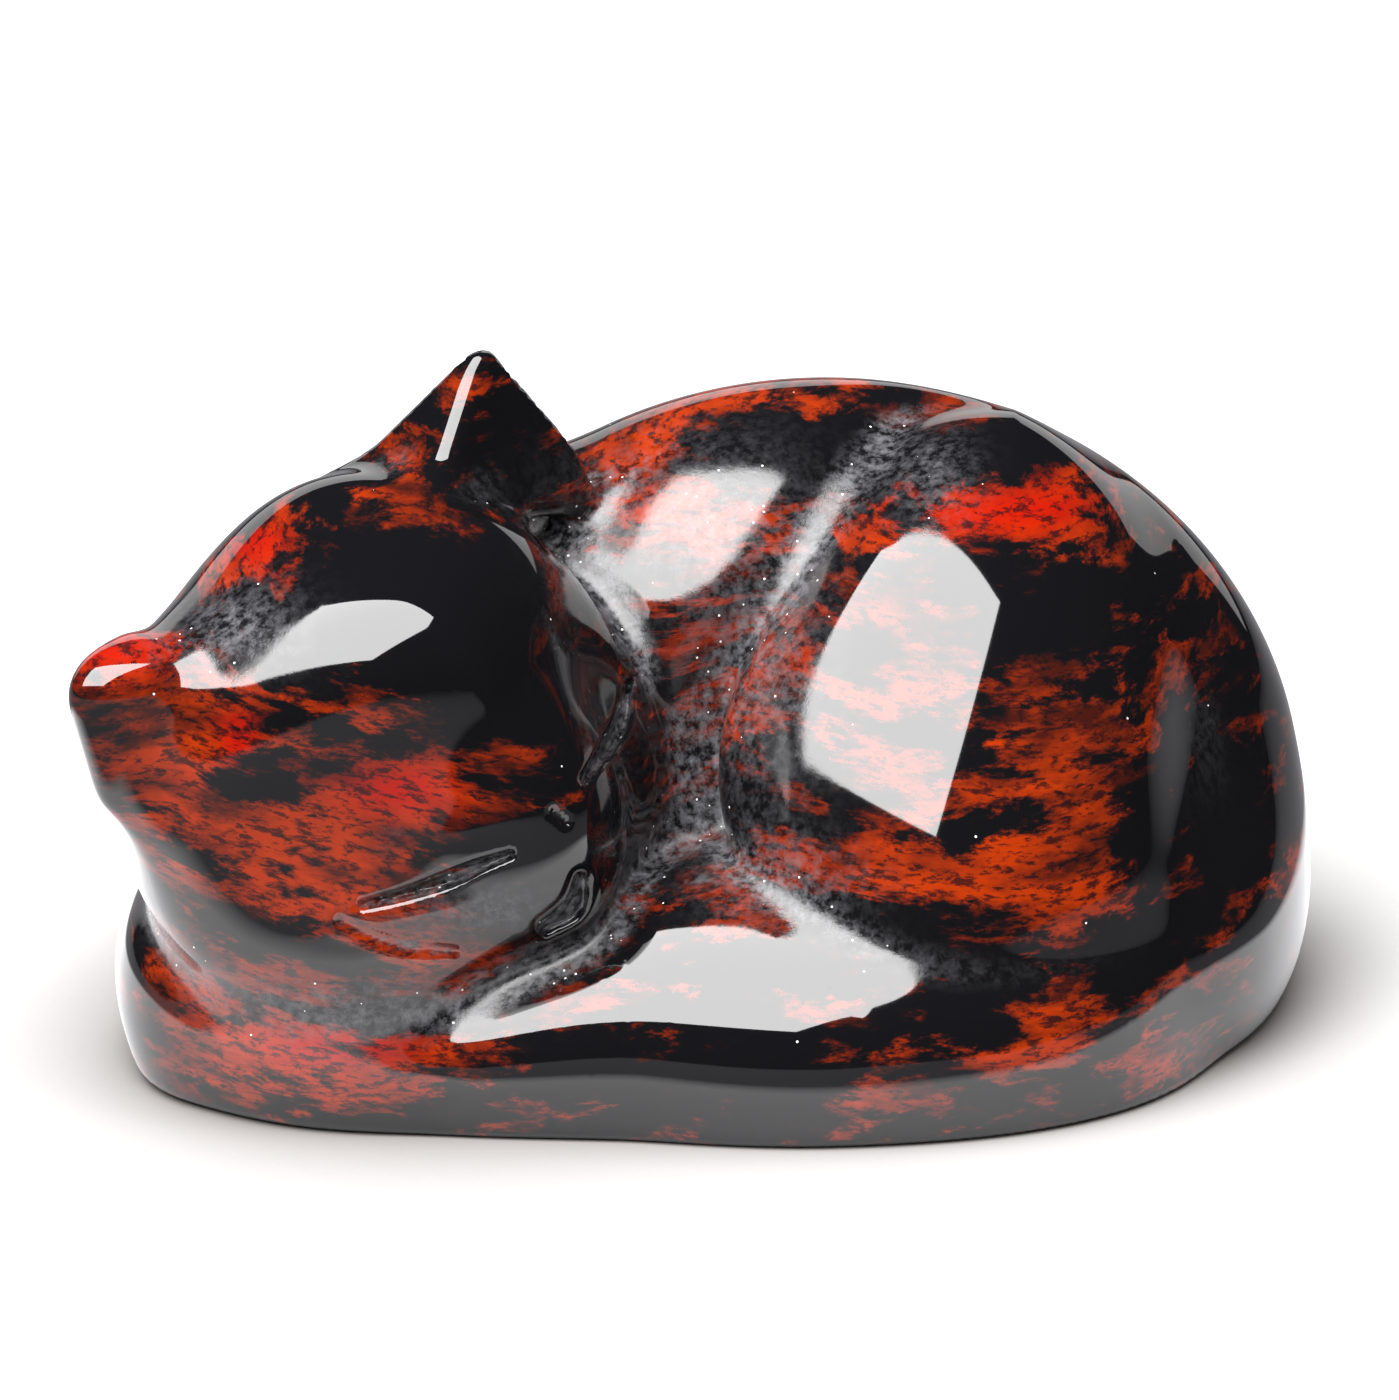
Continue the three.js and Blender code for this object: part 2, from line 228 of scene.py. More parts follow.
# carved details, drawn on a plane that faces the cat from in front and a little above; the cut at a line is
# depth * exp(-(distance / softness) ** 2), and a swelling is height * exp(-|(p - centre) / radii| ** 2)
engraving = {
    "tilt": 19,                                  # degrees
    "nearSide": (6, 3),                          # the cuts fade in over this span: from, width
    "pathSteps": 32,
    # each line: knots (across, up, half width), softness of its edge, depth
    "lines": [
        ([(-12.7, 4.64, 0), (-11.1, 5.05, 0.05), (-9.3, 5.66, 0.14), (-8.1, 6.17, 0.08), (-7.0, 6.57, 0)],
         0.17, 0.42),                                                                   # near eye
        ([(-13.6, 4.0, 0), (-11.4, 3.1, 0.1), (-9.2, 2.8, 0)], 0.22, 0.20),             # its lower lid
        ([(-2.5, 13.2, 0), (-2.9, 11.4, 0.12), (-4.1, 9.5, 0)], 0.18, 0.50),            # far eye
        ([(-5.3, 8.2, 0), (-4.9, 7.8, 0)], 0.20, 0.20),                                 # nostril
        ([(-5.7, 3.7, 0), (-4.6, 4.5, 0.15), (-4.3, 5.6, 0)], 0.30, 0.45),              # mouth
    ],
    # each swelling: centre, radii, turn in degrees, height
    "swells": [
        ((-11.0, 4.2), (2.6, 0.55), 8, 0.20),
        ((-9.4, 6.9), (2.2, 0.8), 22, 0.12),
    ],
}


def engraved(p, d):
    a = math.radians(engraving["tilt"])
    flat = np.stack([p[..., 0], p[..., 2] * math.cos(a) + p[..., 1] * math.sin(a)], -1)
    start, width = engraving["nearSide"]
    front = np.clip((-p[..., 1] * math.cos(a) + p[..., 2] * math.sin(a) - start) / width, 0, 1)
    for knots, softness, depth in engraving["lines"]:
        away = np.maximum(alongPath(flat, smoothPath(knots, engraving["pathSteps"])), 0)
        d = d + front * depth * np.exp(-(away / softness) ** 2)
    for centre, radii, turn, height in engraving["swells"]:
        q = (flat - np.asarray(centre)) @ turned(turn)[:2, :2].T / np.asarray(radii)
        d = d - front * height * np.exp(-(q * q).sum(-1))
    return d


def carvedField(p):
    return engraved(p, catField(p))


# skin: one vertex in each grid cell the surface crosses, one quad round each crossed edge
skinGrid = {
    "growth": 0.12,                              # how fast the cells grow away from the face
    "roughStep": 1.4, "nearSurface": 2.6,        # grid that finds the surface, and what counts as near it
    "pointsAtOnce": 200000,
    "slopeStep": 0.02, "longestMove": 0.3,
    "low": (-26.5, -18.5, -1.0), "high": (27.0, 19.0, 29.5),
    "step": 0.42, "fineStep": 0.17,
    "fineLow": (-14.5, -18, 6.0), "fineHigh": (-1.5, -8.5, 17.5),
}


def gridLines(low, high, fineLow, fineHigh, step, fineStep):
    # steps grow smoothly from the fine to the plain step away from the fine span
    lines = [low]
    while lines[-1] < high:
        away = max(fineLow - lines[-1], lines[-1] - fineHigh, 0)
        lines.append(lines[-1] + min(step, fineStep + skinGrid["growth"] * away))
    return np.array(lines)


def closePinches(v):
    # where the inside touches itself across the diagonal of a grid square, the outside corners are filled
    while True:
        filled = 0
        for a, b in ((0, 1), (0, 2), (1, 2)):
            w = np.moveaxis(v, (a, b), (0, 1))
            s = w < 0
            odd = (s[:-1, :-1] == s[1:, 1:]) & (s[1:, :-1] == s[:-1, 1:]) & (s[:-1, :-1] != s[1:, :-1])
            for i, j in ((0, 0), (0, 1), (1, 0), (1, 1)):
                part = w[i:w.shape[0] - 1 + i, j:w.shape[1] - 1 + j]
                part[odd & (part >= 0)] = -0.01
            filled += int(odd.sum())
        if not filled:
            return v


def fieldOnGrid(lines, fieldOf):
    # the field everywhere on a coarse grid first, then only near the surface on the fine one
    step = skinGrid["roughStep"]
    coarse = [np.arange(line[0], line[-1] + step, step) for line in lines]
    p = np.stack(np.meshgrid(*coarse, indexing="ij"), -1).astype(np.float32)
    rough = fieldOf(p)
    near = [np.clip(np.rint((line - c[0]) / step).astype(int), 0, len(c) - 1)
            for line, c in zip(lines, coarse)]
    v = rough[np.ix_(*near)].copy()
    todo = np.abs(v) < skinGrid["nearSurface"]
    i, j, k = np.nonzero(todo)
    points = np.stack([lines[0][i], lines[1][j], lines[2][k]], -1).astype(np.float32)
    parts = np.array_split(points, max(1, len(points) // skinGrid["pointsAtOnce"]))
    v[todo] = np.concatenate([fieldOf(part) for part in parts])
    return v


def skin(lines, fieldOf):
    v = closePinches(fieldOnGrid(lines, fieldOf))
    p = np.stack(np.meshgrid(*lines, indexing="ij"), -1).astype(np.float32)
    inside = v < 0
    n = np.array(v.shape) - 1
    total = np.zeros((*n, 3), np.float32)
    count = np.zeros(n, np.int8)
    crossings = []
    for a in range(3):
        lo = tuple(slice(None, -1) if q == a else slice(None) for q in range(3))
        hi = tuple(slice(1, None) if q == a else slice(None) for q in range(3))
        cross = inside[lo] != inside[hi]
        t = v[lo] / np.where(cross, v[lo] - v[hi], 1)
        point = p[lo] + t[..., None] * (p[hi] - p[lo])
        b, c = [q for q in range(3) if q != a]
        for db in (0, 1):
            for dc in (0, 1):
                cut = [slice(None)] * 3
                cut[b] = slice(0, -1) if db else slice(1, None)
                cut[c] = slice(0, -1) if dc else slice(1, None)
                m = cross[tuple(cut)]
                total += np.where(m[..., None], point[tuple(cut)], 0)
                count += m
        crossings.append((a, b, c, cross))
    cells = count > 0
    number = np.full(cells.shape, -1, np.int32)
    number[cells] = np.arange(cells.sum())
    verts = total[cells] / count[cells][:, None]
    faces = []
    for a, b, c, cross in crossings:
        at = np.argwhere(cross)
        at = at[(at[:, b] > 0) & (at[:, c] > 0) & (at[:, b] < n[b]) & (at[:, c] < n[c])]
        quad = []
        for db, dc in ((1, 1), (0, 1), (0, 0), (1, 0)):
            cell = at.copy()
            cell[:, b] -= db
            cell[:, c] -= dc
            quad.append(number[tuple(cell.T)])
        quad = np.stack(quad, 1)
        outward = inside[tuple(at.T)] != (a == 1)
        quad[~outward] = quad[~outward][:, ::-1]
        faces.append(quad)
    return verts.astype(float), np.vstack(faces)


def slope(p, fieldOf):
    # central differences: (field(p + h) - field(p - h)) / 2h along each axis
    h = skinGrid["slopeStep"]
    return np.stack([(fieldOf(p + e) - fieldOf(p - e)) / (2 * h) for e in np.eye(3) * h], -1)


def settle(verts, fieldOf, rounds):
    # Newton steps along the slope bring each vertex onto the surface
    for _ in range(rounds):
        g = slope(verts, fieldOf)
        step = g * (fieldOf(verts) / np.maximum((g * g).sum(-1), 0.2))[:, None]
        verts = verts - np.clip(step, -skinGrid["longestMove"], skinGrid["longestMove"])
    return verts


def relax(verts, faces, share):
    # each vertex moves a share of the way to the mean of its neighbours along the quads' edges
    total = np.zeros_like(verts)
    count = np.zeros(len(verts))
    for i in range(4):
        a, b = faces[:, i], faces[:, (i + 1) % 4]
        for c in range(3):
            total[:, c] += np.bincount(a, verts[b, c], len(verts)) + np.bincount(b, verts[a, c], len(verts))
        count += np.bincount(a, minlength=len(verts)) + np.bincount(b, minlength=len(verts))
    return verts + share * (total / count[:, None] - verts)


lines = [gridLines(*(skinGrid[key][axis] for key in ("low", "high", "fineLow", "fineHigh")),
                   skinGrid["step"], skinGrid["fineStep"]) for axis in range(3)]
verts, faces = skin(lines, carvedField)
verts = settle(verts, carvedField, 2)
for _ in range(2):
    verts = settle(relax(verts, faces, 0.5), carvedField, 1)
verts = settle(verts, carvedField, 1)
normals = slope(verts, carvedField)
normals /= np.linalg.norm(normals, axis=1)[:, None]
print("skin", len(verts), "vertices", len(faces), "quads", verts.min(0).round(2), verts.max(0).round(2))


# what the stone needs to know at each vertex; places and sizes in millimetres
stonePattern = {
    # iron-red clouds: centre, radii, strength (negative keeps the glass black)
    "clouds": [
        ((-2, 3, 23), (5, 5, 2.6), 1.0), ((4, 4.5, 24.6), (5, 4, 0.9), 0.8),
        ((0.5, -1, 21), (3.4, 3, 2), 0.9), ((9, -2, 21.4), (3.4, 3, 0.9), 0.8),
        ((12.6, -1.5, 21.9), (3, 3, 0.8), 1.1), ((16.2, -2, 20.8), (3, 3, 1.0), 0.8),
        ((15, -7.6, 16), (3.4, 3, 2.4), 0.5), ((14.4, -9.4, 12.8), (4, 3, 1.8), 0.9),
        ((7, -6.5, 17), (3, 3, 3), 0.4), ((6.2, -10.6, 10.3), (3, 3, 1.4), 0.9),
        ((10.5, -11, 10), (5, 3, 1.4), 1.1), ((15.6, -10.7, 8.8), (4, 3, 1.3), 1.1),
        ((19.7, -3.7, 17), (1.6, 3, 2.4), 0.9), ((2.7, -6, 15.4), (1.8, 3, 2.4), 0.6),
        ((0, -3, 17), (2, 3, 2), 0.4), ((-19.8, -13.7, 14), (3.4, 3, 3), 1.1),
        ((-14, -15, 13), (4.2, 3, 2.4), 1.2), ((-20.8, -13.6, 18), (2.6, 3, 2), 0.8),
        ((-11.2, -15, 14.7), (2.2, 3, 1.2), 1.0), ((-15.2, -14.7, 7.2), (3.4, 3, 1.2), 0.5),
        ((-10, -14.5, 7.4), (2.6, 3, 1), 0.6), ((-20, -11, 6.3), (2, 3, 2.4), 0.9),
        ((-17.7, -13, 3), (3.4, 3, 1.8), 1.0), ((-11.4, -14.3, 2.3), (4, 3, 1.2), 0.8),
        ((-14, -14, 4), (3.4, 3, 0.9), 0.8), ((-17.2, -8, 22.4), (3, 3, 1.8), 0.8),
        ((-11.4, -5.5, 24.2), (2.4, 3, 1.8), 0.7), ((-6, -5.7, 18.6), (1.4, 3, 2.0), 0.8),
        ((-6.4, -1.2, 23.6), (2, 3, 2), 0.4), ((-7.4, 0, 23.4), (2.6, 5, 3), -0.9),
        ((-22, -11.7, 19.6), (2, 2, 0.8), 0.9), ((-2, -10.3, 8.4), (1.8, 3, 1.6), 0.5),
        ((-5, -14.4, 3), (3.4, 3, 1.2), 0.3), ((8, -15.5, 2.8), (2.6, 3, 1), 0.6),
        ((13.6, -13.7, 3.6), (3, 3, 1.4), 0.9), ((18, -11, 2.4), (2.4, 3, 1.6), 0.8),
        ((4.7, 2, 23.2), (5.4, 3, 1.5), -1.5), ((21.3, -5, 11.7), (1.8, 3, 5), -1.0),
        ((14.2, -5.2, 18.8), (3.4, 3, 1.6), -1.0), ((18.2, -8.9, 10), (2, 3, 2), -0.8),
        ((-13.9, -13, 21.2), (4.4, 3, 1.4), -1.3), ((-8.4, -12.4, 20), (3.2, 3, 2.4), -1.3),
        ((-5, -9.8, 18), (3, 4, 3.6), -1.4), ((-7.4, -14.9, 11.4), (2.6, 3, 1.6), -0.8),
        ((-3.2, -12, 11.2), (2.6, 3, 2.4), -1.6), ((0.3, -15.4, 3), (6, 3, 1.6), -0.9),
        ((6.5, -12.6, 8), (4.4, 3, 1.2), -0.8), ((18, -10.3, 6), (2.6, 3, 1.4), -0.7),
        ((-17, -14.8, 15), (1.6, 2, 1), -0.7), ((12, -12.8, 6.6), (3, 3, 1), -0.5),
    ],
    # the reddest glass: centre, radii
    "fire": [
        ((12.6, -1.6, 21.9), (4.4, 3, 0.8)), ((-11.2, -15, 14.7), (2, 3, 1)),
        ((-17.4, -14.6, 16.6), (0.8, 2, 1)), ((-17.6, -8, 22.4), (2, 3, 0.8)),
        ((-14, -14, 3.8), (3, 3, 0.8)), ((-22.2, -12, 19.4), (2.2, 2, 0.8)),
    ],
    # ground the polishing wheel did not reach: centre, radii, strength
    "rough": [
        ((2.6, -4, 16), (2.4, 6, 5), 0.7), ((9.3, -0.5, 23), (1.6, 3, 2), 0.6),
        ((3.4, -10, 9.6), (3, 4, 1.4), 0.6), ((-0.6, -1, 21.4), (4.2, 6, 2.4), 0.45),
        ((-17.8, -12, 20.4), (2.6, 3, 1.2), 0.9), ((-21.4, -10, 8), (2, 3, 1.2), 0.7),
        ((-13.6, -14, 5.6), (4.4, 3, 1.2), 0.7), ((-8, -14.6, 9.6), (2.8, 3, 1), 0.5),
    ],
    "hollowReach": 1.4,                          # how far round a point its hollowness is judged
    "hollowFrom": 0.0, "hollowTo": 0.16,
    "flatten": 3.0,                              # how much thinner than wide the glass's flow layers are
    # the layers stack this way, and lean over by this much round the head
    "across": (0.05, -0.1, 1), "acrossHead": (0.35, 0, 0), "headReach": 12.0,
}


def hollowness(p):
    # mean of the field around a point against the field there: above zero where the surface is hollow
    h = stonePattern["hollowReach"]
    around = sum(carvedField(p + e) + carvedField(p - e) for e in np.eye(3) * h) / 6
    return (carvedField(p) - around) / h


def blobs(p, rows):
    # sum of soft ellipsoids: strength * exp(-|(p - centre) / radii| ** 2)
    total = np.zeros(len(p))
    for centre, radii, *strength in rows:
        q = (p - np.asarray(centre)) / np.asarray(radii)
        total += (strength[0] if strength else 1) * np.exp(-(q * q).sum(-1))
    return total


def flowLayers(p):
    # the place in the glass with the height across its layers stretched: p + (flatten - 1) * height * across
    fromHead = p - np.asarray(catForm["headCentre"])
    onHeadShare = np.exp(-(np.linalg.norm(fromHead, axis=1) / stonePattern["headReach"]) ** 4)[:, None]
    across = np.asarray(stonePattern["across"]) + onHeadShare * np.asarray(stonePattern["acrossHead"])
    across /= np.linalg.norm(across, axis=1)[:, None]
    height = (fromHead * across).sum(1)[:, None]
    return p + (stonePattern["flatten"] - 1) * height * across


def ramp(x, low, high):
    t = np.clip((x - low) / (high - low), 0, 1)
    return t * t * (3 - 2 * t)


hollow = ramp(hollowness(verts), stonePattern["hollowFrom"], stonePattern["hollowTo"])
hollow = np.clip(hollow + blobs(verts, stonePattern["rough"]), 0, 1)
cloud = blobs(verts, stonePattern["clouds"])
fire = np.clip(blobs(verts, stonePattern["fire"]), 0, 1)
layers = flowLayers(verts)
print("stone", "hollow", hollow.mean().round(3), "cloud", cloud.min().round(2), cloud.max().round(2))


def meshPiece(name, verts, faces, normals, attributes):
    mesh = bpy.data.meshes.new(name)
    shift = np.array([*catForm["middle"], 0])
    mesh.from_pydata(((verts - shift) * mm).tolist(), [], faces.tolist())
    mesh.polygons.foreach_set("use_smooth", np.ones(len(faces), bool))
    for key, values in attributes.items():
        kind, field = ("FLOAT", "value") if values.ndim == 1 else ("FLOAT_VECTOR", "vector")
        attribute = mesh.attributes.new(key, kind, "POINT")
        attribute.data.foreach_set(field, values.astype(np.float32).ravel())
    mesh.update()
    mesh.normals_split_custom_set_from_vertices(normals.tolist())
    piece = bpy.data.objects.new(name, mesh)
    bpy.context.scene.collection.objects.link(piece)
    return piece


cat = meshPiece("polishedCat", verts, faces, normals,
                {"hollow": hollow, "cloud": cloud, "fire": fire, "layers": layers})
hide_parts("carved_cat")
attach(cat, "root")

# the stone: black volcanic glass with feathery iron-red layers, polished except in its hollows
stoneLook = {
    "black": (0.0020, 0.0020, 0.0024, 1), "brown": (0.020, 0.0030, 0.0018, 1),
    "orange": (0.150, 0.0118, 0.0008, 1), "red": (0.170, 0.0030, 0.0005, 1),
    "dust": (0.090, 0.088, 0.096, 1), "pit": (0.62, 0.60, 0.60, 1),
    "bandsPerMm": 0.24, "bandEdge": 0.045, "bandSwirl": 3.5,
    "bandLevel": 0.555, "cloudLift": 0.15,       # how rare red is in plain stone, how strongly clouds act
    "speckPerMm": 1.3, "speckLevel": 0.545, "speckEdge": 0.06, "speckSwirl": 0.8, "speckStrength": 0.85,
    "tonePerMm": 0.30, "toneFrom": 0.42, "toneTo": 0.68,     # noise from brown to orange
    "cloudGlow": 0.10,                           # how much the clouds' middles turn from brown to orange
    "gritPerMm": 2.2, "dustFrom": 0.42, "dustTo": 0.75,
    "pitsPerMm": 2.3, "pitSize": 0.11, "pitDepth": 0.00004, "pitStrength": 0.7,
    "pitsInHollows": 0.45, "pitsElsewhere": 0.012,           # share of the cells that hold a pit
    "polished": 0.035, "ground": 0.32, "unevenness": (0.6, 1.25),    # roughness, its spread where ground
    "groundHeight": 0.6,
    "ior": 1.49,
}


def node(tree, kind, inputs=(), **settings):
    # a node with its settings, and its inputs set to values or linked to sockets
    made = tree.nodes.new("ShaderNode" + kind)
    for key, value in settings.items():
        setattr(made, key, value)
    for key, value in dict(inputs).items():
        if isinstance(value, bpy.types.NodeSocket):
            tree.links.new(value, made.inputs[key])
        else:
            made.inputs[key].default_value = value
    return made


def maths(tree, operation, a, b=0.0, clamp=False):
    return node(tree, "Math", {0: a, 1: b}, operation=operation, use_clamp=clamp).outputs[0]


def blend(tree, share, a, b):
    mix = node(tree, "Mix", {"Factor": share}, data_type="RGBA")
    for socket, value in ((mix.inputs[6], a), (mix.inputs[7], b)):
        if isinstance(value, bpy.types.NodeSocket):
            tree.links.new(value, socket)
        else:
            socket.default_value = value
    return mix.outputs[2]


def flowBands():
    # feathery bands: warped fractal noise against a level, with a soft edge
    group = bpy.data.node_groups.new("flowBands", "ShaderNodeTree")
    group.interface.new_socket("Place", in_out="INPUT", socket_type="NodeSocketVector")
    for name in ("Per mm", "Level", "Edge", "Swirl"):
        group.interface.new_socket(name, in_out="INPUT", socket_type="NodeSocketFloat")
    group.interface.new_socket("Mask", in_out="OUTPUT", socket_type="NodeSocketFloat")
    given = group.nodes.new("NodeGroupInput").outputs
    swirlSize = maths(group, "MULTIPLY", given["Per mm"], 0.6)
    swirl = node(group, "TexNoise", {"Vector": given["Place"], "Scale": swirlSize, "Detail": 2.0})
    centred = node(group, "VectorMath", {0: swirl.outputs["Color"], 1: (0.5, 0.5, 0.5)}, operation="SUBTRACT")
    pushed = node(group, "VectorMath", {0: centred.outputs[0], "Scale": given["Swirl"]}, operation="SCALE")
    place = node(group, "VectorMath", {0: given["Place"], 1: pushed.outputs[0]}, operation="ADD")
    bands = node(group, "TexNoise", {"Vector": place.outputs[0], "Scale": given["Per mm"], "Detail": 8.0,
                                     "Roughness": 0.66, "Lacunarity": 2.1})
    low = maths(group, "SUBTRACT", given["Level"], given["Edge"])
    high = maths(group, "ADD", given["Level"], given["Edge"])
    mask = node(group, "MapRange", {"Value": bands.outputs["Fac"], "From Min": low, "From Max": high},
                interpolation_type="SMOOTHSTEP")
    result = group.nodes.new("NodeGroupOutput")
    group.links.new(mask.outputs[0], result.inputs["Mask"])
    return group


def mahoganyObsidian():
    look = stoneLook
    stone = bpy.data.materials.new("mahoganyObsidian")
    stone.use_nodes = True
    tree = stone.node_tree
    shader = tree.nodes["Principled BSDF"]
    given = {key: node(tree, "Attribute", attribute_name=key)
             for key in ("hollow", "cloud", "fire", "layers")}
    hollow, cloud, fire = (given[key].outputs["Fac"] for key in ("hollow", "cloud", "fire"))
    layers = given["layers"].outputs["Vector"]
    place = node(tree, "TexCoord").outputs["Object"]
    place = node(tree, "VectorMath", {0: place, "Scale": 1 / mm}, operation="SCALE")
    bands = flowBands()

    def bandMask(perMm, level, edge, swirl):
        wanted = {"Place": layers, "Per mm": perMm, "Level": level, "Edge": edge, "Swirl": swirl}
        return node(tree, "Group", wanted, node_tree=bands).outputs["Mask"]

    level = maths(tree, "SUBTRACT", look["bandLevel"], maths(tree, "MULTIPLY", cloud, look["cloudLift"]))
    iron = bandMask(look["bandsPerMm"], level, look["bandEdge"], look["bandSwirl"])
    specks = bandMask(look["speckPerMm"], look["speckLevel"], look["speckEdge"], look["speckSwirl"])
    clear = maths(tree, "SUBTRACT", 1.0, maths(tree, "MULTIPLY", specks, look["speckStrength"]))
    iron = maths(tree, "MULTIPLY", iron, clear)
    tone = node(tree, "TexNoise", {"Vector": layers, "Scale": look["tonePerMm"], "Detail": 5.0,
                                   "Roughness": 0.6})
    tone = maths(tree, "ADD", tone.outputs["Fac"], maths(tree, "MULTIPLY", cloud, look["cloudGlow"]))
    tone = node(tree, "MapRange", {"Value": tone, "From Min": look["toneFrom"], "From Max": look["toneTo"]})
    mahogany = blend(tree, tone.outputs[0], look["brown"], look["orange"])
    mahogany = blend(tree, fire, mahogany, look["red"])
    colour = blend(tree, iron, look["black"], mahogany)

    grit = node(tree, "TexNoise", {"Vector": place.outputs[0], "Scale": look["gritPerMm"], "Detail": 6.0,
                                   "Roughness": 0.7})
    dusty = node(tree, "MapRange", {"Value": grit.outputs["Fac"], "From Min": look["dustFrom"],
                                    "From Max": look["dustTo"]})
    colour = blend(tree, maths(tree, "MULTIPLY", hollow, dusty.outputs[0]), colour, look["dust"])
    cells = node(tree, "TexVoronoi", {"Vector": place.outputs[0], "Scale": look["pitsPerMm"]})
    chance = node(tree, "SeparateColor", {"Color": cells.outputs["Color"]}).outputs[0]
    share = maths(tree, "ADD", maths(tree, "MULTIPLY", hollow, look["pitsInHollows"]), look["pitsElsewhere"])
    insidePit = maths(tree, "LESS_THAN", cells.outputs["Distance"], look["pitSize"])
    pits = maths(tree, "MULTIPLY", insidePit, maths(tree, "LESS_THAN", chance, share))
    colour = blend(tree, maths(tree, "MULTIPLY", pits, look["pitStrength"]), colour, look["pit"])
    tree.links.new(colour, shader.inputs["Base Color"])

    low, high = look["unevenness"]
    uneven = node(tree, "MapRange", {"Value": grit.outputs["Fac"], "From Min": 0.3, "From Max": 0.7,
                                     "To Min": low, "To Max": high})
    rough = maths(tree, "MULTIPLY", maths(tree, "MULTIPLY", hollow, uneven.outputs[0]), look["ground"])
    tree.links.new(maths(tree, "ADD", rough, look["polished"]), shader.inputs["Roughness"])
    height = maths(tree, "MULTIPLY", hollow, look["groundHeight"])
    height = maths(tree, "MULTIPLY", grit.outputs["Fac"], height)
    height = maths(tree, "SUBTRACT", height, pits)
    bump = node(tree, "Bump", {"Height": height, "Strength": 1.0, "Distance": look["pitDepth"]})
    tree.links.new(bump.outputs[0], shader.inputs["Normal"])
    shader.inputs["IOR"].default_value = look["ior"]
    return stone


cat.data.materials.append(mahoganyObsidian())
print("stone material made")

# studio: a softbox in front, a strip behind, white paper below
studio = {
    "key": {"azimuth": -30, "height": 60, "distance": 0.5, "size": (0.56, 0.52), "power": 15.4},
    "back": {"azimuth": 180, "height": 10, "distance": 0.9, "size": (1.6, 0.25), "power": 1.2},
    "raised": 0.01,                              # the lamps aim at this height, in metres
    "paperInReflections": (0.62, 0.62, 0.63, 1), "tableAndPaintedShadeInReflections": (0.07, 0.07, 0.075, 1),
    "paperReach": (0.056, 0.031, 1),             # metres: the white sheet in the reflections is this oval
    "paperEdge": (1.1, 0.9),                     # its edge fades over this share of the oval
    "paper": (0.30, 0.30, 0.30, 1), "paperPaintedShade": (0.085, 0.075, 0.07, 1), "paperRoughness": 0.9,
    "shadeReach": 0.022, "shadePower": 2.2,      # painted shade on the paper round the cat: its colour darkens where ambient occlusion finds the cat near
    "floorHalf": 1.5,
    "ambient": (1.5, 1.5, 1.5, 1),               # light on rough surfaces only
    "roomDark": (0.02, 0.02, 0.024, 1),
}


def around(azimuth, height, distance):
    # azimuth 0 is straight in front of the cat, positive towards its rump
    a, e = math.radians(azimuth), math.radians(height)
    return Vector((distance * math.sin(a) * math.cos(e), -distance * math.cos(a) * math.cos(e),
                   distance * math.sin(e)))


def softbox(name, azimuth, height, distance, size, power):
    light = bpy.data.lights.new(name, "AREA")
    light.shape = "RECTANGLE"
    light.size, light.size_y = size
    light.energy = power
    lamp = bpy.data.objects.new(name, light)
    lamp.location = around(azimuth, height, distance) + Vector((0, 0, studio["raised"]))
    lamp.rotation_euler = around(azimuth, height, distance).to_track_quat("Z", "Y").to_euler()
    bpy.context.scene.collection.objects.link(lamp)
    return lamp


for name in ("key", "back"):
    softbox(name + "Softbox", **studio[name])


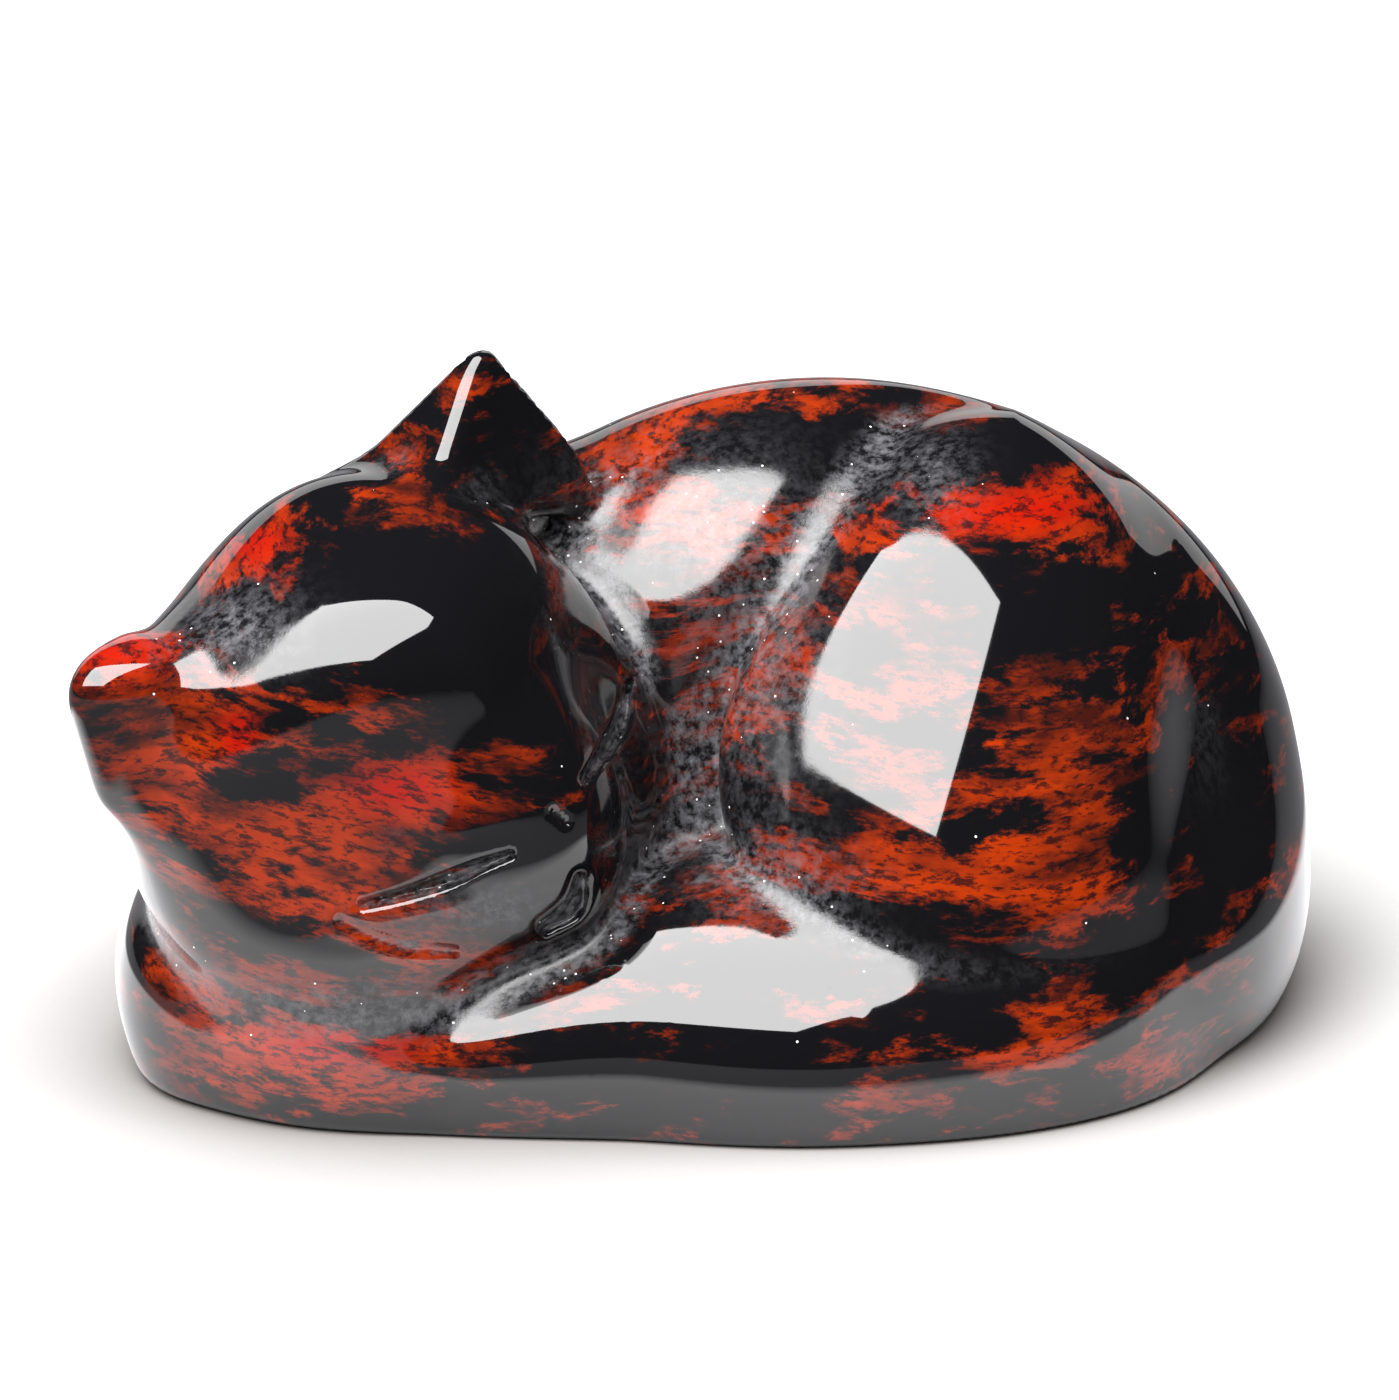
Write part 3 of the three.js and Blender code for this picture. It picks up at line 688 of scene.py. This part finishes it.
def whitePaper():
    # pale paper with a soft shade painted near the cat by ambient occlusion; in reflections it is a white
    # sheet on a dark table, also painted darker near the cat as shade
    paper = bpy.data.materials.new("whitePaper")
    paper.use_nodes = True
    tree = paper.node_tree
    place = node(tree, "NewGeometry").outputs["Position"]
    away = node(tree, "VectorMath", {0: place, 1: studio["paperReach"]}, operation="DIVIDE").outputs[0]
    away = node(tree, "VectorMath", {0: away}, operation="LENGTH").outputs["Value"]
    outer, inner = studio["paperEdge"]
    sheet = node(tree, "MapRange", {"Value": away, "From Min": outer, "From Max": inner}).outputs[0]
    shade = node(tree, "AmbientOcclusion", {"Distance": studio["shadeReach"]}).outputs["AO"]
    reflected = blend(tree, sheet, studio["tableAndPaintedShadeInReflections"], studio["paperInReflections"])
    # painted shade in reflections: near the cat the sheet turns to the dark table colour by ambient occlusion
    reflected = blend(tree, shade, studio["tableAndPaintedShadeInReflections"], reflected)
    # painted shade: seen by the camera, the paper turns to the shade colour where the cat is near
    shade = maths(tree, "POWER", shade, studio["shadePower"])
    direct = blend(tree, shade, studio["paperPaintedShade"], studio["paper"])
    seen = node(tree, "LightPath").outputs["Is Camera Ray"]
    shader = tree.nodes["Principled BSDF"]
    tree.links.new(blend(tree, seen, reflected, direct), shader.inputs["Base Color"])
    shader.inputs["Roughness"].default_value = studio["paperRoughness"]
    return paper


def studioFloor():
    s = studio["floorHalf"]
    mesh = bpy.data.meshes.new("studioFloor")
    mesh.from_pydata([(-s, -s, 0), (s, -s, 0), (s, s, 0), (-s, s, 0)], [], [(0, 1, 2, 3)])
    mesh.materials.append(whitePaper())
    floor = bpy.data.objects.new("studioFloor", mesh)
    bpy.context.scene.collection.objects.link(floor)
    return floor


def studioRoom():
    # white behind the cat, dark in the reflections, and even light on rough surfaces
    world = bpy.data.worlds.new("studioRoom")
    world.use_nodes = True
    tree = world.node_tree
    tree.nodes.clear()
    path = node(tree, "LightPath").outputs
    dark, lit, white = (node(tree, "Background", {0: colour}).outputs[0]
                        for colour in (studio["roomDark"], studio["ambient"], (1, 1, 1, 1)))
    room = node(tree, "MixShader", {0: path["Is Diffuse Ray"], 1: dark, 2: lit}).outputs[0]
    seen = node(tree, "MixShader", {0: path["Is Camera Ray"], 1: room, 2: white}).outputs[0]
    node(tree, "OutputWorld", {0: seen})
    return world


floor = studioFloor()
bpy.context.scene.world = studioRoom()
print("studio ready")

# camera straight at the long side, 19 degrees up
view = {
    "height": 19, "distance": 0.35,              # degrees, metres
    "sensor": 36, "frameMm": 1400 / 24.9,        # the lens takes in this many millimetres at the cat
    "shift": (0.0054, 0.0306), "aim": 11.5,      # aimed this many millimetres above the floor
    "clip": (0.01, 100),
}
toCamera = around(0, view["height"], 1)
aim = Vector((-catForm["middle"][0], -catForm["middle"][1], view["aim"])) * mm
lens = bpy.data.cameras.new("studioCamera")
lens.sensor_width = view["sensor"]
lens.lens = view["distance"] / mm * view["sensor"] / view["frameMm"]
lens.shift_x, lens.shift_y = view["shift"]
lens.clip_start, lens.clip_end = view["clip"]
camera = bpy.data.objects.new("studioCamera", lens)
camera.location = aim + toCamera * view["distance"]
camera.rotation_euler = toCamera.to_track_quat("Z", "Y").to_euler()
bpy.context.scene.collection.objects.link(camera)
bpy.context.scene.camera = camera
bpy.context.scene.view_settings.view_transform = "Standard"
